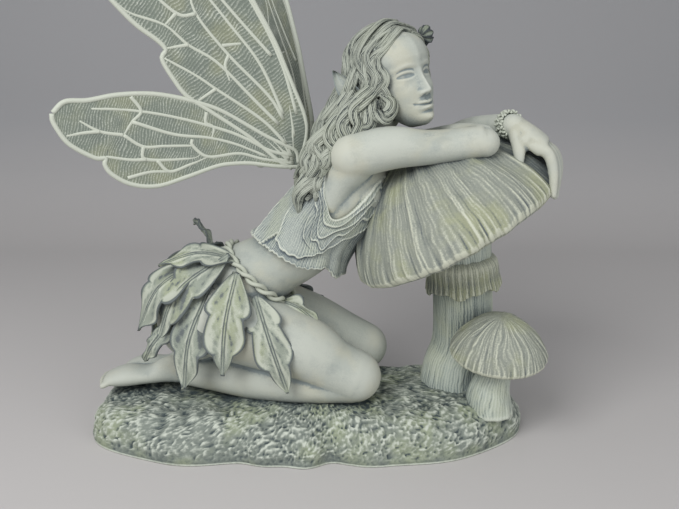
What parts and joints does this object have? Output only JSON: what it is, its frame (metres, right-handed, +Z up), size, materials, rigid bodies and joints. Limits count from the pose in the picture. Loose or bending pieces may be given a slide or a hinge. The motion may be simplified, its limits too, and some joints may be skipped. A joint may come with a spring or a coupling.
{
  "type": "fairy figurine",
  "caption": "Winged fairy kneeling on a mossy base with arms folded on a large mushroom cap, small mushroom beside it.",
  "frame": {"origin": "middle of the flat underside of the base", "axes": "+X the way the fairy faces, +Y her left side, +Z up"},
  "size_m": [0.4051, 0.294, 0.4291],
  "materials": {
    "figure_resin": "matte verdigris wash with pale dry-brushed ridges",
    "wing_resin": "matte verdigris wash with pale dry-brushed veins"
  },
  "bodies": {
    "root": {"fairy_casting": "figure_resin", "right_wings": "wing_resin", "left_wings": "wing_resin"}
  },
  "joints": []
}
